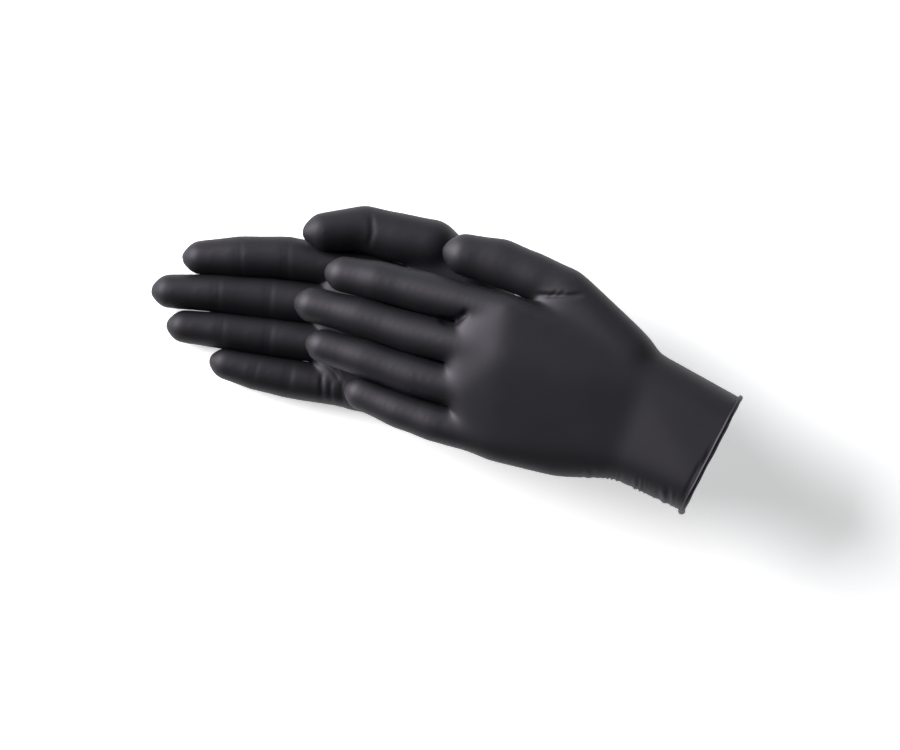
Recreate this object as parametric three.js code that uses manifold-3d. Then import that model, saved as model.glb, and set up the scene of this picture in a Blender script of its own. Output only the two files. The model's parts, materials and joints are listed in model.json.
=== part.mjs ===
// A pair of disposable film gloves in the shape that they are worn in, lying palm to palm.
// The right glove lies on its back on the table, and the left one lies palm down on it,
// drawn back towards the wrists.
// Millimetres. +X points to the wrists, +Y to the thumbs, +Z up, and the table is z = 0.
import * as THREE from 'three';
import { ConvexGeometry } from 'three/addons/geometries/ConvexGeometry.js';
import { mergeVertices } from 'three/addons/utils/BufferGeometryUtils.js';
import Module from 'manifold-3d';

const wasm = await Module();
wasm.setup();

// Driving dimensions
const filmWall = 1; // thicker than a real film, so that each piece is a sound solid
const pieceGap = 0.36; // clearance between neighbouring pieces
const beadWidth = 2.2; // rolled rim, measured along the cuff
const beadLip = 0.8; // how far the rim stands out of the cuff
const cuttingSize = 600; // side of the boxes that cut, larger than the object
const ballSegments = 12;
const ballRings = 6;
const foldMargin = 1; // degrees of extra opening in each fold notch

// Each ball is [x, y, z, radius along x, y, z].
// A piece is the hull of neighbouring balls, like flesh on joints.
const leftGlove = {
  name: 'left',
  restsOnTable: false,
  lift: 1,
  palm: [
    [28, 20.6, 48.5, 13, 11, 12.5],
    [31, -2.5, 49.3, 13, 12.3, 13],
    [33, -25.5, 48.8, 12.6, 12, 12.5],
    [36, -47.5, 47.6, 12, 12, 11.8],
    [12, 21, 47, 9, 10.2, 11],
    [9, -3.5, 47, 9, 11, 11],
    [15, -26, 46.8, 9, 10.6, 10.6],
    [25, -46.6, 46.4, 9, 10.4, 10.4],
    [72, -42.5, 51.5, 20, 16.5, 14],
    [108, 2.5, 57, 14, 18.3, 18.3],
    [104, -34, 57, 14, 18.3, 18.3],
  ],
  thenar: [
    [58, 24, 50, 11, 10, 11],
    [56, 41, 48.5, 12.2, 12, 12],
    [98, 11, 55, 16, 17, 15],
  ],
  fingers: {
    index: [[28, 21, 48.5, 12, 10.4, 12], [-19, 20.6, 42.5, 10.6, 10.5, 10.4],
      [-45, 20.8, 38.5, 10, 10, 9.6], [-65, 19.8, 34.8, 8.8, 9, 8.4]],
    middle: [[31, -2.5, 49.3, 12, 11.2, 12], [-20, -2.2, 42, 10.4, 10.3, 10.4],
      [-50, 0.2, 36.5, 9.9, 9.8, 9.6], [-77.5, -0.2, 31, 9, 9, 8.6]],
    ring: [[33, -25.5, 48.8, 12, 11, 12], [-14, -24.4, 41.8, 10, 9.9, 10],
      [-42, -21.2, 37, 9.5, 9.4, 9.3], [-66.5, -20.2, 32.6, 8.6, 8.6, 8.2]],
    little: [[36, -47.5, 47.6, 11.4, 10.8, 11.4], [4, -46.3, 42.5, 9.6, 9.6, 9.6],
      [-17, -43.8, 38.5, 9, 9, 8.8], [-40, -39.8, 33.6, 8.2, 8.2, 7.8]],
  },
  thumb: [[56, 41, 48.5, 12.2, 12, 12], [18, 47.8, 43.5, 12, 12, 11], [-4, 46.2, 42, 10.6, 10.6, 9.8]],
  wrist: [[108, 2.5, 57, 14, 18.3, 18.3], [104, -34, 57, 14, 18.3, 18.3]],
  cuffEnd: [[157, -10, 60, 12, 17.3, 20.5], [149, -43, 60, 12, 17.3, 20.5]],
};

const rightGlove = {
  name: 'right',
  restsOnTable: true,
  lift: 0,
  palm: [
    [-50, 25.5, 11.5, 13, 10.6, 12],
    [-53, 3.5, 11.8, 12.8, 12, 12.3],
    [-51, -18, 11.4, 12.5, 11.5, 11.9],
    [-44, -39.6, 11.2, 11.5, 11.4, 11.7],
    [-66, 23.5, 9.6, 8.5, 9.8, 9.9],
    [-68, 1.5, 9.8, 8.5, 10, 10.2],
    [-64, -19.5, 9.8, 8.5, 9.6, 10.1],
    [-57, -40.4, 9.5, 8.5, 9.6, 9.9],
    [-8, -34, 13.5, 22, 16, 14],
    [27, 8, 17.5, 14, 17, 18],
    [27, -20, 17.5, 14, 17, 18],
  ],
  thenar: [
    [-20, 24, 12.5, 11, 11, 11.5],
    [-20, 49, 17.5, 12.6, 12.4, 12.2],
    [18, 20, 15, 17, 17, 15.5],
  ],
  fingers: {
    index: [[-50, 26, 11.6, 12, 10.2, 12.1], [-97, 21, 9.9, 10.4, 10.3, 10.4],
      [-122, 15.6, 9.3, 9.7, 9.6, 9.8], [-142, 10.8, 8.2, 8.4, 8.5, 8.7]],
    middle: [[-53, 3.5, 11.6, 11.6, 10.8, 12.1], [-101, -2.6, 9.4, 9.9, 9.8, 9.9],
      [-129, -6.4, 8.9, 9.3, 9.2, 9.4], [-154, -11.6, 7.9, 8.3, 8.3, 8.4]],
    ring: [[-51, -18.2, 11.2, 11.4, 10.4, 11.7], [-96, -22.6, 9.1, 9.5, 9.3, 9.6],
      [-122, -25.7, 8.7, 9.1, 9, 9.2], [-142, -29, 7.8, 8.2, 8.2, 8.3]],
    little: [[-44, -39.6, 11, 11, 10.6, 11.5], [-80, -42.2, 9.3, 9.8, 9.4, 9.8],
      [-99, -42.8, 8.7, 9.2, 8.9, 9.2], [-115.3, -42.8, 7.8, 8.3, 8.1, 8.3]],
  },
  thumb: [
    [-20, 49, 17.5, 12.6, 12.4, 12.2],
    [-59, 47.5, 20.5, 12, 12, 11.4],
    [-81.5, 39.8, 22.5, 10.8, 10.8, 9.8],
  ],
  wrist: [[27, 8, 17.5, 14, 17, 18], [27, -20, 17.5, 14, 17, 18]],
  cuffEnd: [[75, 12, 18, 12, 18, 18.5], [75, -20, 18, 12, 18, 18.5]],
};

// Folds: a share of the way from one ball to the next, the side that closes, and the range in degrees.
const up = new THREE.Vector3(0, 0, 1);
const outward = new THREE.Vector3(0, 1, 0);
const folds = {
  leftFinger: { index: 0.85, middle: 0.84, ring: 0.88, little: 0.9, raise: 25 },
  leftThumb: { rootShare: 0.5, rootSwing: 30, tipSwing: 15 },
  leftWrist: { share: 0.1, raise: 45, lower: 30 },
  rightKnuckle: 80, // middle joint of each finger, curling up off the table
  rightTip: 50, // end joint, driven by the middle joint
  rightRootShare: { index: 0.64, middle: 0.62, ring: 0.62, little: 0.76 },
  rightThumb: { rootShare: 0.32, rootSwing: 30, tipSwing: 35 },
  rightWrist: { share: 0.1, turn: 15 },
};

const nitrile = { color: 0x2b2b30, roughness: 0.55, metalness: 0 };

function toSolid(geometry) {
  geometry.deleteAttribute('normal');
  geometry.deleteAttribute('uv');
  const merged = mergeVertices(geometry, 1e-4);
  const position = merged.getAttribute('position');
  return new wasm.Manifold(new wasm.Mesh({
    numProp: 3,
    vertProperties: new Float32Array(position.array),
    triVerts: new Uint32Array(merged.index.array),
  }));
}

function toGeometry(solid) {
  const mesh = solid.getMesh();
  const geometry = new THREE.BufferGeometry();
  geometry.setAttribute('position', new THREE.BufferAttribute(new Float32Array(mesh.vertProperties), 3));
  geometry.setIndex(new THREE.BufferAttribute(new Uint32Array(mesh.triVerts), 1));
  return geometry;
}

function ballPoints([x, y, z, rx, ry, rz], growth, lift) {
  const sphere = new THREE.SphereGeometry(1, ballSegments, ballRings);
  sphere.rotateZ(Math.PI / 2);
  sphere.scale(rx + growth, ry + growth, rz + growth);
  sphere.translate(x, y, z + lift);
  const position = sphere.getAttribute('position');
  const points = [];
  for (let i = 0; i < position.count; i += 1) {
    points.push(new THREE.Vector3().fromBufferAttribute(position, i));
  }
  return points;
}

function hull(balls, growth, glove) {
  const points = balls.flatMap((ball) => ballPoints(ball, growth, glove.lift));
  return toSolid(new ConvexGeometry(points));
}

function chain(balls, growth, glove) {
  let solid = hull(balls.slice(0, 2), growth, glove);
  for (let i = 1; i < balls.length - 1; i += 1) {
    solid = solid.add(hull(balls.slice(i, i + 2), growth, glove));
  }
  return solid;
}

// The half of space on the side of the point that the normal points to.
function halfSpace(point, normal) {
  const box = new THREE.BoxGeometry(cuttingSize, cuttingSize, cuttingSize);
  box.translate(0, 0, cuttingSize / 2);
  const turn = new THREE.Quaternion().setFromUnitVectors(up, normal.clone().normalize());
  box.applyQuaternion(turn);
  box.translate(point.x, point.y, point.z);
  return toSolid(box);
}

function ballCentre(ball, glove) {
  return new THREE.Vector3(ball[0], ball[1], ball[2] + glove.lift);
}

// A fold sits at a share of the way from one ball to the next. It has a side that closes by some degrees.
function makeFold(glove, from, to, share, closings) {
  const start = ballCentre(from, glove);
  const end = ballCentre(to, glove);
  const along = end.clone().sub(start).normalize();
  return { at: start.lerp(end, share), along, closings };
}

// One side of a fold: the plane across it, and a plane tilted by half the range on each side that closes.
function foldSide(fold, sign) {
  const planes = [{ tilt: 0, side: up }];
  for (const { side, degrees } of fold.closings) {
    planes.push({ tilt: THREE.MathUtils.degToRad(degrees / 2 + foldMargin), side });
  }
  let region = null;
  for (const { tilt, side } of planes) {
    const across = side.clone().addScaledVector(fold.along, -side.dot(fold.along)).normalize();
    const normal = fold.along.clone().multiplyScalar(sign * Math.cos(tilt));
    normal.addScaledVector(across, -Math.sin(tilt));
    const point = fold.at.clone().addScaledVector(normal, pieceGap / 2);
    const half = halfSpace(point, normal);
    region = region ? region.intersect(half) : half;
  }
  return region;
}

const before = (fold) => foldSide(fold, -1);
const after = (fold) => foldSide(fold, 1);

// The outside of a piece loses what lies under the table,
// and its inside keeps the wall's thickness above it.
function outside(solid, glove) {
  return glove.restsOnTable ? solid.intersect(halfSpace(new THREE.Vector3(0, 0, 0), up)) : solid;
}

function inside(solid, glove) {
  return glove.restsOnTable ? solid.intersect(halfSpace(new THREE.Vector3(0, 0, filmWall), up)) : solid;
}

const group = new THREE.Group();

function addPiece(name, solid) {
  const mesh = new THREE.Mesh(toGeometry(solid), new THREE.MeshStandardMaterial(nitrile));
  mesh.name = name;
  group.add(mesh);
}

// The cuff runs from the wrist fold to the bead, and the bead is the rolled rim around its mouth.
function cuffPieces(glove, wristFold) {
  const balls = [...glove.wrist, ...glove.cuffEnd];
  const ends = glove.cuffEnd.map((ball) => ballCentre(ball, glove));
  const mouth = ends[0].clone().add(ends[1]).multiplyScalar(0.5);
  const out = wristFold.along.clone();
  const beadStart = mouth.clone().addScaledVector(out, -beadWidth);
  const cuffStop = beadStart.clone().addScaledVector(out, -pieceGap);
  const hollow = inside(hull(balls, -filmWall, glove), glove);
  const cuff = outside(hull(balls, 0, glove), glove)
    .intersect(after(wristFold))
    .intersect(halfSpace(cuffStop, out.clone().negate()))
    .subtract(hollow);
  addPiece(`${glove.name}_cuff`, cuff);
  const bead = outside(hull(balls, beadLip, glove), glove)
    .intersect(halfSpace(beadStart, out))
    .intersect(halfSpace(mouth, out.clone().negate()))
    .subtract(hollow);
  addPiece(`${glove.name}_cuff_bead`, bead);
}

function wristMiddle(glove) {
  return glove.wrist[0].map((value, i) => (value + glove.wrist[1][i]) / 2);
}

function cuffMiddle(glove) {
  return glove.cuffEnd[0].map((value, i) => (value + glove.cuffEnd[1][i]) / 2);
}

// The palm and back of the hand, with the roots of the fingers and of the thumb up to their folds.
function handShell(glove, fingerFolds, thumbFold, wristFold) {
  let outer = hull(glove.palm, 0, glove).add(hull(glove.thenar, 0, glove));
  let inner = hull(glove.palm, -filmWall, glove).add(hull(glove.thenar, -filmWall, glove));
  for (const [finger, balls] of Object.entries(glove.fingers)) {
    outer = outer.add(chain(balls.slice(0, 2), 0, glove).intersect(before(fingerFolds[finger])));
    inner = inner.add(chain(balls.slice(0, 2), -filmWall, glove));
  }
  outer = outer.add(chain(glove.thumb.slice(0, 2), 0, glove).intersect(before(thumbFold)));
  inner = inner.add(chain(glove.thumb.slice(0, 2), -filmWall, glove));
  const cuffHollow = inside(hull([...glove.wrist, ...glove.cuffEnd], -filmWall, glove), glove);
  const shell = outside(outer, glove)
    .intersect(before(wristFold))
    .subtract(inside(inner, glove))
    .subtract(cuffHollow);
  addPiece(`${glove.name}_hand_shell`, shell);
}

function stall(name, glove, balls, ...regions) {
  let solid = outside(chain(balls, 0, glove), glove);
  for (const region of regions) {
    solid = solid.intersect(region);
  }
  addPiece(name, solid.subtract(inside(chain(balls, -filmWall, glove), glove)));
}

function thumbPieces(glove, rootFold, tipFold) {
  stall(`${glove.name}_thumb_stall`, glove, glove.thumb, after(rootFold), before(tipFold));
  stall(`${glove.name}_thumb_tip`, glove, glove.thumb, after(tipFold));
}

// Left glove: each finger stall is one piece that lifts off the lower glove at its root.
function buildLeft() {
  const glove = leftGlove;
  const { leftFinger, leftThumb, leftWrist } = folds;
  const fingerFolds = {};
  for (const [finger, balls] of Object.entries(glove.fingers)) {
    const closings = [{ side: up, degrees: leftFinger.raise }];
    fingerFolds[finger] = makeFold(glove, balls[0], balls[1], leftFinger[finger], closings);
    stall(`left_${finger}_stall`, glove, balls, after(fingerFolds[finger]));
  }
  const [base, knuckle, tip] = glove.thumb;
  const rootFold = makeFold(glove, base, knuckle, leftThumb.rootShare, [
    { side: outward, degrees: leftThumb.rootSwing },
  ]);
  const tipFold = makeFold(glove, knuckle, tip, 0, [{ side: outward, degrees: leftThumb.tipSwing }]);
  thumbPieces(glove, rootFold, tipFold);
  const wristFold = makeFold(glove, wristMiddle(glove), cuffMiddle(glove), leftWrist.share, [
    { side: up, degrees: leftWrist.raise },
    { side: up.clone().negate(), degrees: leftWrist.lower },
  ]);
  handShell(glove, fingerFolds, rootFold, wristFold);
  cuffPieces(glove, wristFold);
}

// Right glove: each finger stall has a base on the hand, a middle and a tip, which curl up off the table.
function buildRight() {
  const glove = rightGlove;
  const { rightKnuckle, rightTip, rightRootShare, rightThumb, rightWrist } = folds;
  const fingerFolds = {};
  for (const [finger, balls] of Object.entries(glove.fingers)) {
    const rootSeam = makeFold(glove, balls[0], balls[1], rightRootShare[finger], []);
    const knuckleFold = makeFold(glove, balls[0], balls[1], 1, [{ side: up, degrees: rightKnuckle }]);
    const tipFold = makeFold(glove, balls[1], balls[2], 1, [{ side: up, degrees: rightTip }]);
    fingerFolds[finger] = rootSeam;
    stall(`right_${finger}_stall_base`, glove, balls, after(rootSeam), before(knuckleFold));
    stall(`right_${finger}_stall_middle`, glove, balls, after(knuckleFold), before(tipFold));
    stall(`right_${finger}_stall_tip`, glove, balls, after(tipFold));
  }
  const [base, knuckle, tip] = glove.thumb;
  const rootFold = makeFold(glove, base, knuckle, rightThumb.rootShare, [
    { side: outward, degrees: rightThumb.rootSwing },
  ]);
  const tipFold = makeFold(glove, knuckle, tip, 0, [{ side: outward, degrees: rightThumb.tipSwing }]);
  thumbPieces(glove, rootFold, tipFold);
  const wristFold = makeFold(glove, wristMiddle(glove), cuffMiddle(glove), rightWrist.share, [
    { side: outward, degrees: rightWrist.turn },
    { side: outward.clone().negate(), degrees: rightWrist.turn },
  ]);
  handShell(glove, fingerFolds, rootFold, wristFold);
  cuffPieces(glove, wristFold);
}

buildLeft();
buildRight();

export default group;
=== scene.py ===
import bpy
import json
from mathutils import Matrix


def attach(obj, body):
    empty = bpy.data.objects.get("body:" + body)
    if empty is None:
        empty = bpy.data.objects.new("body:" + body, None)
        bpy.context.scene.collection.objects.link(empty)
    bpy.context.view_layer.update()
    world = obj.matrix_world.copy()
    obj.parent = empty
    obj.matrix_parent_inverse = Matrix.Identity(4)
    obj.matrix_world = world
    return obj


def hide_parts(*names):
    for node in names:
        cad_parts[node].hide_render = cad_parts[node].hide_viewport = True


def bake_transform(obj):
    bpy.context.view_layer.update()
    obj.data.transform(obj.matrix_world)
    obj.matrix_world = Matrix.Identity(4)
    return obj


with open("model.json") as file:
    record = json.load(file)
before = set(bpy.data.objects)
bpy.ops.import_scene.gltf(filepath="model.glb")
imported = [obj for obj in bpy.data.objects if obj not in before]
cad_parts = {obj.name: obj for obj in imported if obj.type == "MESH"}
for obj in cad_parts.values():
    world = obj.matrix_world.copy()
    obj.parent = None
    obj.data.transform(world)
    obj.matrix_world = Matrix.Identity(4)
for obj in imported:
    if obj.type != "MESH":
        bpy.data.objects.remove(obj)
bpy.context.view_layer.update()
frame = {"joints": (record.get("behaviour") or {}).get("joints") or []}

import json
import math
import bpy
import bmesh
import numpy as np
from mathutils import Matrix, Vector

mm = 0.001
fingerNames = ("index", "middle", "ring", "little")
hinges = {joint["name"]: joint for joint in frame["joints"]}

# What both gloves share, in millimetres.
film = {
    "voxel": 0.95,          # grain of the modelled film
    "slim": 1.5,            # the form is slimmer by this, so that stalls stay apart while it is wrapped
    "plump": 1.9,           # and the smoothed film is let out again by this
    "smoothing": 24,        # how far the film bridges over hollows between the fingers
    "broadSmoothing": 150,  # and over the back, the palm and the cuff
    "weightSteps": 10,      # steps in which the one passes into the other
    "wall": 0.22,
    "mouthTrim": 1.4,       # the film ends this far inside the middle of its rolled bead
    "centreSamples": 400,   # faces that tell where a piece of film is
    "ballSegments": 24,
    "ballRings": 14,
    "tipReach": 0.55,       # a smaller ball this far past the last one narrows the tip
    "tipShare": 0.62,
    "waist": {"left": 0.965, "right": 0.99},         # how much a finger narrows between its joints
}

# Balls are (x, y, z, rx, ry, rz) in millimetres. Neighbouring balls are wrapped in one hull, as skin wraps a hand.
leftForm = {
    "name": "left",
    "floor": None,
    "broadFrom": (-4, 24),
    "smoothingSpots": [(2, -16, 11, 0.6), (9, -37.8, 11, 0.6)],
    "hulls": [
        [(28, 20.8, 54.4, 13, 11, 12.4), (31, -2.3, 55.2, 13, 12.2, 12.8), (33, -25.3, 51.4, 12.6, 11.8, 12.0),
         (36, -47.3, 47.3, 12, 11.8, 11.1), (12, 20, 49.6, 9, 9.6, 10.2), (9, -2.6, 50.2, 9, 10, 10.4),
         (14, -25.6, 49.8, 9, 9.6, 10.2), (27, -46.6, 46.8, 9, 9.6, 10.0), (72, -42.5, 50.3, 20, 16.3, 12.0),
         (70, -4, 56.4, 18, 18, 14.2), (108, 2.5, 56.8, 14, 18.0, 15.8), (104, -34, 55.2, 14, 18.0, 14.8)],
        [(58, 24, 52.5, 11, 10, 11), (56, 41, 50, 12.2, 12, 11.6), (98, 11, 56.4, 16, 17, 14.6),
         (93, 15.5, 55.4, 12, 17, 13.8), (48, 33, 50.2, 9, 9, 9.4)],
        [(108, 2.5, 56.8, 14, 18.0, 15.8), (104, -34, 55.2, 14, 18.0, 14.8),
         (157, -10, 60.4, 12, 17.2, 19.0), (149, -43, 60.4, 12, 17.2, 19.0),
         (164, -12, 61.0, 12, 17.2, 19.2), (156, -45, 61.0, 12, 17.2, 19.2)],
    ],
    "fingers": {
        "index": [(28, 21, 54.2, 12, 10.6, 12), (-19, 20.9, 44.2, 11, 11.0, 10.7),
                  (-45, 21, 39.8, 10.3, 10.6, 10), (-63.8, 19.9, 35.8, 9.3, 9.6, 8.8)],
        "middle": [(31, -2.3, 55.2, 12, 11.2, 12), (-20, -2.0, 43.8, 10.8, 10.9, 10.7),
                   (-50, -0.2, 37.8, 10.2, 10.4, 10), (-76.0, -0.2, 32.2, 9.4, 9.5, 8.9)],
        "ring": [(33, -25.3, 51.7, 12, 11, 11.9), (-14, -24.2, 43.4, 10.5, 10.6, 10.3),
                 (-42, -21.6, 38.0, 9.9, 10.1, 9.7), (-65.0, -20.4, 33.4, 9, 9.1, 8.5)],
        "little": [(36, -47.3, 47.8, 11.4, 10.8, 11.2), (4, -46.2, 43.8, 10, 10.2, 10),
                   (-17, -44.2, 39.3, 9.4, 9.6, 9.2), (-38.9, -40.5, 34.2, 8.6, 8.7, 8.1)],
        "thumb": [(56, 41, 50, 12.2, 12, 11.6), (37, 43.4, 47.3, 12.2, 13.4, 11.4),
                  (18, 46.1, 44.5, 12.2, 13.9, 11.2), (-2.8, 45.9, 42.9, 10.4, 11.2, 9.7)],
    },
    "mouth": ((153, -26.5, 61), (108, -15.75, 58)),
}

rightForm = {
    "name": "right",
    "floor": 0.0,
    "broadFrom": (-72, -44),
    "smoothingSpots": [],
    "hulls": [
        [(-50, 25.5, 11.5, 13, 10.6, 12), (-53, 3.5, 11.8, 12.8, 12, 12.3), (-51, -18, 11.4, 12.5, 11.5, 11.9),
         (-44, -39.6, 11.2, 11.5, 11.4, 11.7), (-66, 23.5, 9.6, 8.5, 9.8, 9.9), (-68, 1.5, 9.8, 8.5, 10, 10.2),
         (-64, -19.5, 9.6, 8.5, 9.6, 10.1), (-57, -40.4, 9.5, 8.5, 9.6, 9.9), (-8, -34, 13.5, 22, 16, 14),
         (27, 8, 17.3, 14, 17, 17.6), (27, -20, 17.3, 14, 17, 17.6)],
        [(-20, 24, 12.5, 11, 11, 11.5), (-20, 49, 17.5, 12.6, 12.4, 12.2), (18, 20, 15, 17, 17, 15.3)],
        [(27, 8, 17.3, 14, 17, 17.6), (27, -20, 17.3, 14, 17, 17.6), (75, 12, 18, 12, 17.8, 18.3),
         (75, -20, 18, 12, 17.8, 18.3), (84, 12, 18.2, 12, 17.8, 18.4), (84, -20, 18.2, 12, 17.8, 18.4)],
    ],
    "fingers": {
        "index": [(-50, 24.9, 11.2, 12, 10.0, 11.6), (-97, 21.4, 10.1, 10.7, 11.7, 10.6),
                  (-122, 15.8, 9.5, 10, 11.2, 10), (-142.6, 10.3, 8.4, 8.8, 9.1, 8.8)],
        "middle": [(-53, 3.5, 11.6, 11.6, 10.8, 12.1), (-101, -2.4, 9.6, 10.2, 11.4, 10.1),
                   (-129, -6.4, 9.1, 9.6, 10.3, 9.6), (-154.8, -11.7, 8.1, 8.7, 9.1, 8.6)],
        "ring": [(-51, -18.0, 11.2, 11.4, 10.6, 11.7), (-96, -22.6, 9.3, 9.8, 10.4, 9.8),
                 (-122, -25.7, 8.9, 9.3, 9.8, 9.4), (-142.2, -28.5, 8.0, 8.6, 8.8, 8.5)],
        "little": [(-44, -39.6, 11, 11, 10.6, 11.5), (-80, -42.2, 9.4, 10, 10.6, 9.9),
                   (-99, -43.1, 8.9, 9.4, 9.7, 9.4), (-114.8, -42.6, 8.0, 8.5, 8.5, 8.5)],
        "thumb": [(-20, 48, 21.6, 12.8, 13.6, 13), (-40, 46.9, 20, 12.6, 13.7, 12.6),
                  (-59, 47.0, 18.2, 11.6, 12.9, 11.8), (-79.8, 40.1, 21.5, 10.6, 10.3, 9.5)],
    },
    "mouth": ((75, -4, 18), (27, -6, 17.5)),
}


def addHull(bm, balls):
    part = bmesh.new()
    for x, y, z, *radii in balls:
        place = Matrix.LocRotScale(Vector((x, y, z)) * mm, None, Vector([r - film["slim"] for r in radii]) * mm)
        bmesh.ops.create_uvsphere(part, u_segments=film["ballSegments"], v_segments=film["ballRings"],
                                  radius=1, matrix=place)
    bmesh.ops.delete(part, geom=part.edges[:], context="EDGES_FACES")
    bmesh.ops.convex_hull(part, input=part.verts[:])
    bmesh.ops.delete(part, geom=[v for v in part.verts if not v.link_faces], context="VERTS")
    temp = bpy.data.meshes.new("hull")
    part.to_mesh(temp)
    part.free()
    bm.from_mesh(temp)
    bpy.data.meshes.remove(temp)


def fingerBalls(line, waist):
    balls = []
    for start, end in zip(line[:-1], line[1:]):
        middle = [(a + b) / 2 for a, b in zip(start, end)]
        middle[4] *= waist
        middle[5] *= waist
        balls += [start, tuple(middle)]
    end, before = line[-1], line[-2]
    out = Vector([a - b for a, b in zip(end[:3], before[:3])]).normalized() * end[3] * film["tipReach"]
    tip = [a + b for a, b in zip(end[:3], out)] + [r * film["tipShare"] for r in end[3:]]
    return balls + [end, tuple(tip)]


def evaluatedMesh(obj, name):
    graph = bpy.context.evaluated_depsgraph_get()
    graph.update()
    return bpy.data.meshes.new_from_object(obj.evaluated_get(graph), depsgraph=graph)


def linkObject(name, mesh):
    obj = bpy.data.objects.new(name, mesh)
    bpy.context.scene.collection.objects.link(obj)
    return obj


def dropObject(obj):
    mesh = obj.data
    bpy.data.objects.remove(obj)
    bpy.data.meshes.remove(mesh)


# One closed, smoothed skin around all the hulls of a glove.
def wrapForm(form):
    bm = bmesh.new()
    for balls in form["hulls"]:
        addHull(bm, balls)
    for line in form["fingers"].values():
        balls = fingerBalls(line, film["waist"][form["name"]])
        for pair in zip(balls[:-1], balls[1:]):
            addHull(bm, pair)
    mesh = bpy.data.meshes.new(form["name"] + "Form")
    bm.to_mesh(mesh)
    bm.free()
    obj = linkObject(form["name"] + "Form", mesh)
    remesh = obj.modifiers.new("Remesh", "REMESH")
    remesh.mode = "VOXEL"
    remesh.voxel_size = film["voxel"] * mm
    wrapped = evaluatedMesh(obj, form["name"])
    dropObject(obj)
    points = coordinates(wrapped)
    low, high = (x * mm for x in form["broadFrom"])
    share = smoothStep((points[:, 0] - low) / (high - low))
    for x, y, reach, change in form["smoothingSpots"]:
        distance = np.hypot(points[:, 0] / mm - x, points[:, 1] / mm - y)
        share = np.clip(share + change * np.exp(-((distance / reach) ** 2)), 0, 1)
    obj = linkObject(form["name"] + "Wrap", wrapped)
    group = obj.vertex_groups.new(name="broad")
    steps = film["weightSteps"]
    for step in range(1, steps + 1):
        group.add(np.nonzero(np.round(share * steps) == step)[0].tolist(), step / steps, "REPLACE")
    for name, times, limits in (("Fine", film["smoothing"], ""), ("Broad", film["broadSmoothing"], "broad")):
        smooth = obj.modifiers.new(name, "SMOOTH")
        smooth.factor = 0.5
        smooth.iterations = times
        smooth.vertex_group = limits
    smoothed = evaluatedMesh(obj, form["name"])
    dropObject(obj)
    return smoothed


def smoothStep(t):
    t = np.clip(t, 0, 1)
    return t * t * (3 - 2 * t)


def coordinates(mesh):
    points = np.empty(len(mesh.vertices) * 3)
    mesh.vertices.foreach_get("co", points)
    return points.reshape(-1, 3)


def vertexNormals(mesh):
    normals = np.empty(len(mesh.vertices) * 3)
    mesh.vertex_normals.foreach_get("vector", normals)
    return normals.reshape(-1, 3)


def point(ball):
    return Vector(ball[:3]) * mm


# Folds and creases that show on the film. Each is a line in x and y, its depth, its half width,
# how far a lip stands up beside it (+ on the left of the line), and whether it is on top (1) or underneath (-1).
creases = {
    "left": [
        ("knuckleCurl", [(-9, 9.0), (-3.5, 8.4), (1.5, 10.2), (4.8, 14), (6, 18.6)], 1.5, 1.7, 0.0, 1),
        ("thumbWeb", [(38, 33.6), (46.7, 35.3), (56, 37.4), (66.2, 40.5)], 0.75, 1.3, 0.12, 1),
        ("webPuckerOne", [(45.5, 33.5), (48.5, 36.2), (50.5, 39.6)], 0.3, 0.8, 0.0, 1),
        ("webPuckerTwo", [(49.5, 34.5), (52.5, 37.4), (55, 40.8)], 0.25, 0.8, 0.0, 1),
        ("cuffFoldUpper", [(150.2, -20), (146.9, -38), (143.2, -57)], 0.45, 1.0, 0.35, 1),
        ("cuffFoldLower", [(147.0, -29), (143.8, -43), (141.0, -58)], 0.35, 0.9, 0.25, 1),
    ],
    "right": [
        ("thumbJoint", [(-61.5, 60), (-57, 54.5), (-54.4, 46), (-54.6, 35)], 0.5, 1.6, 0.0, 1),
        ("palmFoldOne", [(-72, -24.4), (-64.5, -28), (-56, -32.7), (-50.5, -38)], 0.7, 1.3, 0.3, 1),
        ("palmFoldTwo", [(-63, -33.6), (-61.4, -41), (-58.6, -52)], 0.5, 1.2, 0.15, 1),
        ("palmFoldThree", [(-51.5, -34.5), (-49.4, -43), (-46, -53)], 0.45, 1.2, 0.1, 1),
        ("palmFoldFour", [(-57, -37), (-55.4, -45), (-52.6, -52.6)], 0.35, 1.0, 0.15, 1),
    ],
}


def lineDistance(points, path):
    best = np.full(len(points), 1e9)
    side, along = np.zeros(len(points)), np.zeros(len(points))
    line = np.array(path, float) * mm
    lengths = np.linalg.norm(np.diff(line, axis=0), axis=1)
    total, walked = lengths.sum(), 0.0
    for start, end, length in zip(line[:-1], line[1:], lengths):
        step = (end - start) / length
        offset = points[:, :2] - start
        t = np.clip(offset @ step, 0, length)
        gap = offset - t[:, None] * step
        distance = np.linalg.norm(gap, axis=1)
        nearer = distance < best
        best[nearer] = distance[nearer]
        side[nearer] = np.sign(step[0] * offset[:, 1] - step[1] * offset[:, 0])[nearer]
        along[nearer] = ((walked + t) / total)[nearer]
        walked += length
    return best / mm, side, along


creaseForm = {
    "fade": 0.25,           # the share of its length in which a crease runs out at each end
    "turnFrom": 0.1,        # how far round the side of the film it goes, and how softly it ends there
    "turnFade": 0.4,
    "lipPlace": 1.9,        # in half widths of the crease
    "lipWidth": 1.2,
}


def addCreases(side, points, normals):
    move = np.zeros(len(points))
    for _, path, depth, width, lip, facing in creases[side]:
        distance, hand, along = lineDistance(points, path)
        fade = smoothStep(along / creaseForm["fade"]) * smoothStep((1 - along) / creaseForm["fade"])
        fade = fade * smoothStep((normals[:, 2] * facing + creaseForm["turnFrom"]) / creaseForm["turnFade"])
        fromLip = (distance * hand - creaseForm["lipPlace"] * width) / (creaseForm["lipWidth"] * width)
        move -= depth * np.exp(-((distance / width) ** 2)) * fade
        move += lip * np.exp(-(fromLip ** 2)) * fade
    return move


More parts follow.
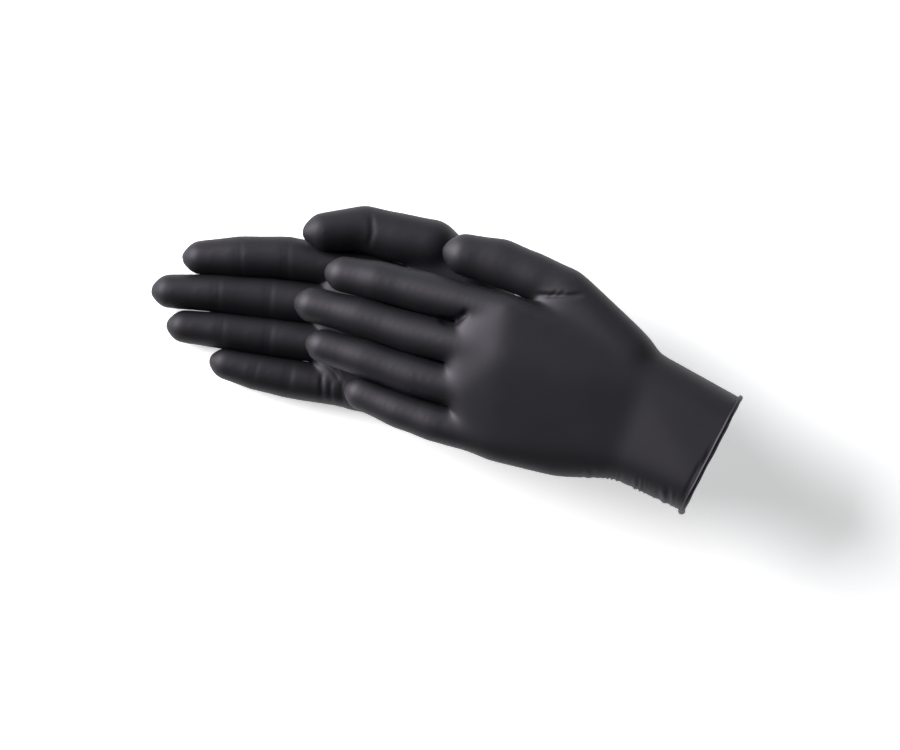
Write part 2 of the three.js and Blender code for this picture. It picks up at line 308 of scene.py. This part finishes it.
pleats = {
    "height": 0.5,
    "pitch": 3.4,
    "from": 82,
    "fromFade": 14,
    "to": 150,
    "toFade": 8,
    "below": -44,
    "belowFade": 9,
    "facing": 0.95,         # they run out where the film turns to face upwards
    "facingFade": 0.4,
    "slant": 0.22,
    "wander": (1.6, 0.31),  # how far the pleats drift from even spacing, and how often
    "swell": (0.55, 0.45),  # their least height as a share, and what is added to it in places
    "swellRate": 0.43,
}


# Small pleats where the film gathers along the outer edge of the upper wrist.
def addPleats(points, normals):
    x, y = points[:, 0] / mm, points[:, 1] / mm
    (drift, driftRate), (least, extra) = pleats["wander"], pleats["swell"]
    where = smoothStep((x - pleats["from"]) / pleats["fromFade"])
    where = where * smoothStep((pleats["to"] - x) / pleats["toFade"])
    where = where * smoothStep((pleats["below"] - y) / pleats["belowFade"])
    where = where * smoothStep((pleats["facing"] - normals[:, 2]) / pleats["facingFade"])
    wave = np.sin((x + pleats["slant"] * y + drift * np.sin(x * driftRate)) * 2 * math.pi / pleats["pitch"])
    return pleats["height"] * where * wave * (least + extra * np.sin(x * pleats["swellRate"] + 1.0))


jointLines = {
    "depth": 0.22,
    "secondDepth": 0.6,     # the second line of a pair, as a share of the first
    "width": 1.5,
    "spacing": 2.6,
    "across": 0.95,         # how far across the stall, as a share of its half width
    "facingFade": 0.5,
}


# The shallow lines across the palm side of each right stall, where a finger bends.
def addJointLines(form, points, normals):
    move = np.zeros(len(points))
    for finger in fingerNames:
        line = form["fingers"][finger]
        for place, toward in ((line[1], line[2]), (line[2], line[3])):
            centre, direction = point(place), (point(toward) - point(place)).normalized()
            offset = (points - np.array(centre)) / mm
            near = np.exp(-((offset[:, 1] / (place[4] * jointLines["across"])) ** 4))
            near = near * smoothStep(normals[:, 2] / jointLines["facingFade"])
            along = offset @ np.array(direction)
            for shift, share in ((-0.5, 1.0), (0.5, jointLines["secondDepth"])):
                away = (along - shift * jointLines["spacing"]) / jointLines["width"]
                move -= jointLines["depth"] * share * near * np.exp(-(away ** 2))
    return move


def shapeFilm(form, mesh):
    normals = vertexNormals(mesh)
    points = coordinates(mesh) + normals * film["plump"] * mm
    move = addCreases(form["name"], points, normals)
    if form["name"] == "left":
        move += addPleats(points, normals)
    else:
        move += addJointLines(form, points, normals)
    points += normals * move[:, None] * mm
    if form["floor"] is not None:
        points[:, 2] = np.maximum(points[:, 2], form["floor"])
    mesh.vertices.foreach_set("co", points.ravel())
    mesh.update()


def edgeChains(edges):
    left, chains = set(edges), []
    while left:
        stack, chain = [left.pop()], []
        while stack:
            edge = stack.pop()
            chain.append(edge)
            for vert in edge.verts:
                for other in vert.link_edges:
                    if other in left:
                        left.remove(other)
                        stack.append(other)
        chains.append(chain)
    return chains


def isClosed(chain):
    members = set(chain)
    return all(sum(1 for e in v.link_edges if e in members) == 2 for edge in chain for v in edge.verts)


# Cuts the film across a stall, and parts it along the closed loop that goes round the given point.
def cutSeam(bm, centre, normal, radius):
    faces = [f for f in bm.faces if (f.calc_center_median() - centre).length < radius]
    edges = {e for f in faces for e in f.edges}
    verts = {v for f in faces for v in f.verts}
    cut = bmesh.ops.bisect_plane(bm, geom=list(verts) + list(edges) + faces, dist=1e-7,
                                 plane_co=centre, plane_no=normal)
    chains = edgeChains([g for g in cut["geom_cut"] if isinstance(g, bmesh.types.BMEdge)])
    loops = []
    for chain in chains:
        middle = sum((v.co for e in chain for v in e.verts), Vector()) / (2 * len(chain))
        loops.append(((middle - centre).length, isClosed(chain), chain))
    loops.sort(key=lambda row: row[0])
    if not loops or not loops[0][1]:
        seen = [(round(row[0] / mm, 1), row[1], len(row[2])) for row in loops]
        print("  open seam at", tuple(round(c / mm, 1) for c in centre), seen)
        return
    bmesh.ops.split_edges(bm, edges=loops[0][2])


def hingePoint(name):
    return Vector(hinges[name]["pos_m"])


def wristPoint(side):
    return hingePoint(f"{side}_wrist_" + ("bend" if side == "left" else "turn"))


seams = {
    "leftRootBack": {"index": 3.0, "middle": 3.0, "ring": 3.0, "little": 0.5},  # from a stall's hinge to its seam
    "rightRootShare": {"index": 0.64, "middle": 0.62, "ring": 0.62, "little": 0.76},  # from a root to its knuckle
    "rightMiddleShare": 0.5,
    "thumbRootBack": {"left": 1.5, "right": -3.5},
    "thumbMiddleShare": {"left": 0.42, "right": 0.5},
    "wristBack": {"left": 22.0, "right": 14.0},
    "leftReach": 22,        # a cut takes in the film this far from its centre
    "rightReach": 20,
    "thumbReach": 24,
    "wristReach": 60,
}


# Where each glove is divided: centre, direction away from the hand, reach of the cut.
def seamPlaces(form):
    side = form["name"]
    places = []
    for finger in fingerNames:
        root, knuckle, end = (point(ball) for ball in form["fingers"][finger][:3])
        out = (knuckle - root).normalized()
        if side == "left":
            hinge = hingePoint(f"left_{finger}_raise")
            places.append((hinge - out * seams["leftRootBack"][finger] * mm, out, seams["leftReach"]))
        else:
            places.append((root.lerp(knuckle, seams["rightRootShare"][finger]), out, seams["rightReach"]))
            middle = knuckle.lerp(end, seams["rightMiddleShare"])
            places.append((middle, (end - knuckle).normalized(), seams["rightReach"]))
    swing, endJoint, out = thumbLine(form)
    places.append((swing - out * seams["thumbRootBack"][side] * mm, out, seams["thumbReach"]))
    places.append((swing.lerp(endJoint, seams["thumbMiddleShare"][side]), out, seams["thumbReach"]))
    return places


# The two hinges of a thumb, and its direction away from the hand.
def thumbLine(form):
    side, thumb = form["name"], form["fingers"]["thumb"]
    out = (point(thumb[-2]) - point(thumb[0])).normalized()
    return hingePoint(f"{side}_thumb_swing"), hingePoint(f"{side}_thumb_end_joint"), out


def islands(bm):
    bm.verts.ensure_lookup_table()
    bm.faces.ensure_lookup_table()
    bm.faces.index_update()
    owner = [-1] * len(bm.faces)
    groups = []
    for first in bm.faces:
        if owner[first.index] >= 0:
            continue
        label, stack, group = len(groups), [first], []
        owner[first.index] = label
        while stack:
            face = stack.pop()
            group.append(face.index)
            for edge in face.edges:
                for other in edge.link_faces:
                    if owner[other.index] < 0:
                        owner[other.index] = label
                        stack.append(other)
        groups.append(group)
    return groups


def keepFaces(bm, wanted):
    part = bm.copy()
    part.faces.ensure_lookup_table()
    wanted = set(wanted)
    bmesh.ops.delete(part, geom=[f for f in part.faces if f.index not in wanted], context="FACES")
    return part


# Gives a sheet of film its wall, inwards, and keeps the shading of the whole glove across the seams.
def finishFilm(part, name):
    mesh = bpy.data.meshes.new(name)
    part.to_mesh(mesh)
    obj = linkObject(name + "Sheet", mesh)
    wall = obj.modifiers.new("Wall", "SOLIDIFY")
    wall.thickness = film["wall"] * mm
    wall.offset = -1
    wall.use_even_offset = False
    solid = evaluatedMesh(obj, name)
    dropObject(obj)
    solid.name = name
    kept = np.empty(len(solid.vertices) * 3)
    solid.attributes["filmNormal"].data.foreach_get("vector", kept)
    kept = kept.reshape(-1, 3)
    kept /= np.maximum(np.linalg.norm(kept, axis=1), 1e-9)[:, None]
    facing = np.einsum("ij,ij->i", vertexNormals(solid), kept)
    kept[facing < 0] *= -1
    for polygon in solid.polygons:
        polygon.use_smooth = True
    solid.normals_split_custom_set_from_vertices(kept.tolist())
    solid.attributes.remove(solid.attributes["filmNormal"])
    return linkObject(name, solid)


def buildGlove(form):
    side = form["name"]
    mesh = wrapForm(form)
    shapeFilm(form, mesh)
    layer = mesh.attributes.new("filmNormal", "FLOAT_VECTOR", "POINT")
    layer.data.foreach_set("vector", vertexNormals(mesh).ravel())
    bm = bmesh.new()
    bm.from_mesh(mesh)
    bpy.data.meshes.remove(mesh)
    mouth, wrist = (Vector(p) * mm for p in form["mouth"])
    out = (mouth - wrist).normalized()
    everything = bm.verts[:] + bm.edges[:] + bm.faces[:]
    edge = mouth - out * film["mouthTrim"] * mm
    bmesh.ops.bisect_plane(bm, geom=everything, dist=1e-7, plane_co=edge, plane_no=out, clear_outer=True)
    cutSeam(bm, wristPoint(side) - out * seams["wristBack"][side] * mm, out, seams["wristReach"] * mm)
    for centre, normal, radius in seamPlaces(form):
        cutSeam(bm, centre, normal, radius * mm)
    bm.faces.ensure_lookup_table()
    groups = islands(bm)
    print(side, "film in", len(groups), "pieces of", sorted(len(g) for g in groups))
    found = []
    for group in groups:
        sample = group[:: max(1, len(group) // film["centreSamples"])]
        found.append((Vector(np.mean([bm.faces[i].calc_center_median() for i in sample], axis=0)), group))
    built = {}
    for name, group in nameIslands(form, found, mouth).items():
        built[name] = finishFilm(keepFaces(bm, group), name)
    loop = mouthLoop(bm, edge, out)
    bm.free()
    return built, loop


anchorPlaces = {
    "cuff": 20,             # back from the mouth
    "finger": 0.5,          # the rest are shares of the way along a stretch of a stall
    "thumb": 0.62,
    "thumbTip": 0.6,
}


# The island with its centre nearest to a piece's anchor is that piece.
def nameIslands(form, found, mouth):
    side = form["name"]
    anchors = {f"{side}_cuff_film": mouth - Vector((anchorPlaces["cuff"], 0, 0)) * mm}
    anchors[f"{side}_hand_film"] = sum((point(b) for b in form["hulls"][0]), Vector()) / len(form["hulls"][0])
    for finger in fingerNames:
        line = form["fingers"][finger]
        if side == "left":
            anchors[f"{side}_{finger}_film"] = point(line[1]).lerp(point(line[3]), anchorPlaces["finger"])
        else:
            anchors[f"{side}_{finger}_film"] = point(line[1])
            anchors[f"{side}_{finger}_tip_film"] = point(line[2]).lerp(point(line[3]), anchorPlaces["finger"])
    thumb = form["fingers"]["thumb"]
    anchors[f"{side}_thumb_film"] = point(thumb[0]).lerp(point(thumb[-2]), anchorPlaces["thumb"])
    anchors[f"{side}_thumb_tip_film"] = point(thumb[-2]).lerp(point(thumb[-1]), anchorPlaces["thumbTip"])
    if len(found) != len(anchors):
        raise RuntimeError(f"{side}: {len(found)} islands for {len(anchors)} pieces: "
                           + str([tuple(round(c / mm) for c in f[0]) for f in found]))
    named = {}
    for name, anchor in anchors.items():
        centre, group = min(found, key=lambda f: (f[0] - anchor).length)
        if any(group is other for other in named.values()):
            raise RuntimeError(f"{name} fell on a taken island")
        named[name] = group
    return named


def mouthLoop(bm, centre, normal):
    rim = [v for v in bm.verts if v.is_boundary and abs((v.co - centre).dot(normal)) < 1e-6]
    spoke = normal.orthogonal().normalized()
    other = normal.cross(spoke)
    middle = sum((v.co for v in rim), Vector()) / len(rim)
    rim.sort(key=lambda v: math.atan2((v.co - middle).dot(spoke), (v.co - middle).dot(other)))
    return [v.co.copy() for v in rim]


bead = {
    "radius": 1.15,
    "step": 3,
    "proud": 0.3,
    "waver": 0.09,        # how unevenly the edge is rolled, in how many waves round it
    "waves": (5, 13),
    "roundness": 4,
    "bunch": 0.75,        # how much it bunches up at its lower outer corner
    "bunchReach": 6.5,
}


def buildBead(form, loop):
    side = form["name"]
    points = loop[:: bead["step"]]
    middle = sum(points, Vector()) / len(points)
    curve = bpy.data.curves.new(side + "Bead", "CURVE")
    curve.dimensions = "3D"
    curve.bevel_depth = bead["radius"] * mm
    curve.bevel_resolution = bead["roundness"]
    spline = curve.splines.new("POLY")
    spline.points.add(len(points) - 1)
    spline.use_cyclic_u = True
    corner = min(points, key=lambda place: place.y)
    for number, (target, place) in enumerate(zip(spline.points, points)):
        outward = (place - middle).normalized()
        target.co = (*(place + outward * bead["proud"] * mm), 1)
        turn = 2 * math.pi * number / len(points)
        near = math.exp(-(((place - corner).length / (bead["bunchReach"] * mm)) ** 2))
        slow, quick = bead["waves"]
        uneven = math.sin(slow * turn) + math.sin(quick * turn + 1)
        target.radius = 1 + bead["waver"] * uneven + bead["bunch"] * near
    obj = linkObject(side + "BeadCurve", curve)
    mesh = evaluatedMesh(obj, "bead")
    bpy.data.objects.remove(obj)
    bpy.data.curves.remove(curve)
    mesh.name = f"{side}_rolled_bead"
    if form["floor"] is not None:
        points = coordinates(mesh)
        points[:, 2] = np.maximum(points[:, 2], form["floor"])
        mesh.vertices.foreach_set("co", points.ravel())
    for polygon in mesh.polygons:
        polygon.use_smooth = True
    return linkObject(f"{side}_rolled_bead", mesh)


# Shader maths: a wrapped socket that takes part in Python expressions.
class Value:
    def __init__(self, tree, socket):
        self.tree = tree
        self.socket = socket

    def math(self, operation, *inputs):
        return self.tree.node("ShaderNodeMath", {"operation": operation}, dict(enumerate(inputs)))

    def __add__(self, other):
        return self.math("ADD", self, other)

    def __radd__(self, other):
        return self.math("ADD", other, self)

    def __sub__(self, other):
        return self.math("SUBTRACT", self, other)

    def __rsub__(self, other):
        return self.math("SUBTRACT", other, self)

    def __mul__(self, other):
        return self.math("MULTIPLY", self, other)

    def __rmul__(self, other):
        return self.math("MULTIPLY", other, self)


class Finish:
    def __init__(self, name):
        self.material = bpy.data.materials.new(name)
        self.material.use_nodes = True
        self.nodes = self.material.node_tree.nodes
        self.links = self.material.node_tree.links
        self.shader = next(n for n in self.nodes if n.type == "BSDF_PRINCIPLED")

    def plug(self, socket, value):
        if isinstance(value, Value):
            self.links.new(value.socket, socket)
        else:
            socket.default_value = value

    def node(self, kind, settings=None, inputs=None, output=0):
        made = self.nodes.new(kind)
        for key, value in (settings or {}).items():
            setattr(made, key, value)
        for key, value in (inputs or {}).items():
            self.plug(made.inputs[key], value)
        return Value(self, made.outputs[output])


nitrile = {
    "dark": (0.0012, 0.0012, 0.0018, 1),
    "light": (0.0026, 0.0025, 0.0036, 1),
    "tint": (0.93, 0.89, 1.0, 1),
    "roughness": 0.6,
    "roughnessSpread": 0.10,
    "grainScale": 2600,
    "grainDetail": 3.0,
    "grainHeight": 0.00004,
    "grainStrength": 0.35,
    "cloudScale": 38,
    "cloudDetail": 4.0,
    "ior": 1.5,
    "backSpecular": 0.5,    # the lower glove shows its palm side, which is made a little duller than a back
    "palmSpecular": 0.4,
    "beadShine": 0.05,
}


def nitrileFinish(name, specular, shine=0.0):
    finish = Finish(name)
    place = finish.node("ShaderNodeTexCoord", output="Object")
    clouds, grain = (
        finish.node("ShaderNodeTexNoise", {}, {"Vector": place, "Scale": nitrile[f"{kind}Scale"],
                                               "Detail": nitrile[f"{kind}Detail"]})
        for kind in ("cloud", "grain"))
    colour = finish.node("ShaderNodeMix", {"data_type": "RGBA"},
                         {0: clouds, 6: nitrile["dark"], 7: nitrile["light"]}, output=2)
    rough = nitrile["roughness"] - shine + (clouds - 0.5) * nitrile["roughnessSpread"]
    bump = finish.node("ShaderNodeBump", {}, {"Height": grain, "Strength": nitrile["grainStrength"],
                                              "Distance": nitrile["grainHeight"]})
    finish.plug(finish.shader.inputs["Base Color"], colour)
    finish.plug(finish.shader.inputs["Roughness"], rough)
    finish.plug(finish.shader.inputs["Normal"], bump)
    finish.shader.inputs["IOR"].default_value = nitrile["ior"]
    finish.shader.inputs["Specular IOR Level"].default_value = specular
    finish.shader.inputs["Specular Tint"].default_value = nitrile["tint"]
    return finish.material


filmFinishes = {
    "left": nitrileFinish("nitrileBackFilm", nitrile["backSpecular"]),
    "right": nitrileFinish("nitrilePalmFilm", nitrile["palmSpecular"]),
}
beadMaterial = nitrileFinish("nitrileBead", nitrile["backSpecular"], nitrile["beadShine"])


def dress(obj, material):
    obj.data.materials.clear()
    obj.data.materials.append(material)


# Bakes a stall's placement into its mesh.
def bend(obj, hinge):
    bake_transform(obj)


def fitGlove(form, built):
    side = form["name"]
    for name, obj in built.items():
        if name.endswith("bead"):
            dress(obj, beadMaterial)
        else:
            dress(obj, filmFinishes[side])
    hand = f"{side}_hand"
    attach(built[f"{side}_hand_film"], hand)
    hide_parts(f"{side}_hand_shell")
    bend(built[f"{side}_cuff_film"], wristPoint(side))
    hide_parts(f"{side}_cuff")
    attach(built[f"{side}_rolled_bead"], f"{side}_cuff")
    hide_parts(f"{side}_cuff_bead")
    for finger in fingerNames:
        stall = built[f"{side}_{finger}_film"]
        if side == "left":
            bend(stall, hingePoint(f"left_{finger}_raise"))
            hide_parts(f"left_{finger}_stall")
        else:
            bend(stall, hingePoint(f"right_{finger}_knuckle"))
            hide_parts(f"right_{finger}_stall_base", f"right_{finger}_stall_middle")
            tip = built[f"{side}_{finger}_tip_film"]
            bend(tip, hingePoint(f"right_{finger}_end_joint"))
            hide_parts(f"right_{finger}_stall_tip")
    swing, endJoint, out = thumbLine(form)
    bend(built[f"{side}_thumb_film"], swing)
    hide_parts(f"{side}_thumb_stall")
    bend(built[f"{side}_thumb_tip_film"], endJoint)
    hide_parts(f"{side}_thumb_tip")


camera = {
    "lens": 200,
    "target": (5.3, -19.1, 45),
    "viewWidth": 486,
    "roll": 14,
    "sensorWidth": 36,
    "clipEnd": 50,
}


def placeCamera():
    data = bpy.data.cameras.new("Camera")
    data.lens = camera["lens"]
    data.sensor_width = camera["sensorWidth"]
    data.clip_end = camera["clipEnd"]
    obj = bpy.data.objects.new("Camera", data)
    bpy.context.scene.collection.objects.link(obj)
    distance = camera["viewWidth"] / data.sensor_width * data.lens
    obj.location = (Vector(camera["target"]) + Vector((0, 0, distance))) * mm
    obj.rotation_euler = (0, 0, math.radians(camera["roll"]))
    bpy.context.scene.camera = obj


# Light places and sizes are in metres, and turn with the camera's roll.
stage = {
    "floorSize": 6,
    "floorColour": (0.94, 0.94, 0.94, 1),
    "floorRoughness": 0.9,
    "floorGlow": 0.5,
    "world": 0.01,
    "aimHeight": 0.04,
    "lights": {
        "Key": {"place": (-1.8, 0.92, 1.05), "size": 1.7, "watts": 134, "colour": (1.0, 0.985, 1.0)},
        "Fill": {"place": (0.35, 1.5, 0.95), "size": 0.9, "watts": 6, "colour": (0.84, 0.97, 1.0)},
    },
}


def addLight(name, place, size, watts, colour):
    data = bpy.data.lights.new(name, "AREA")
    data.shape = "DISK"
    data.size = size
    data.energy = watts
    data.color = colour
    obj = bpy.data.objects.new(name, data)
    bpy.context.scene.collection.objects.link(obj)
    turn = Matrix.Rotation(math.radians(camera["roll"]), 3, "Z")
    aim = Vector((0, 0, stage["aimHeight"]))
    obj.location = turn @ Vector(place)
    obj.rotation_euler = (aim - obj.location).to_track_quat("-Z", "Y").to_euler()


def buildStage():
    bm = bmesh.new()
    bmesh.ops.create_grid(bm, x_segments=1, y_segments=1, size=stage["floorSize"])
    mesh = bpy.data.meshes.new("Floor")
    bm.to_mesh(mesh)
    bm.free()
    floor = linkObject("Floor", mesh)
    finish = Finish("paleFloor")
    finish.shader.inputs["Base Color"].default_value = stage["floorColour"]
    finish.shader.inputs["Roughness"].default_value = stage["floorRoughness"]
    finish.shader.inputs["Emission Color"].default_value = (1, 1, 1, 1)
    finish.shader.inputs["Emission Strength"].default_value = stage["floorGlow"]
    floor.data.materials.append(finish.material)
    world = bpy.data.worlds.new("World")
    bpy.context.scene.world = world
    world.use_nodes = True
    world.node_tree.nodes["Background"].inputs[0].default_value = (1, 1, 1, 1)
    world.node_tree.nodes["Background"].inputs[1].default_value = stage["world"]
    bpy.context.scene.view_settings.view_transform = "Standard"
    for name, light in stage["lights"].items():
        addLight(name, **light)


placeCamera()
buildStage()
print("stage and camera ready")
for form in (leftForm, rightForm):
    built, loop = buildGlove(form)
    built[f"{form['name']}_rolled_bead"] = buildBead(form, loop)
    fitGlove(form, built)
    print(form["name"], "glove ready")
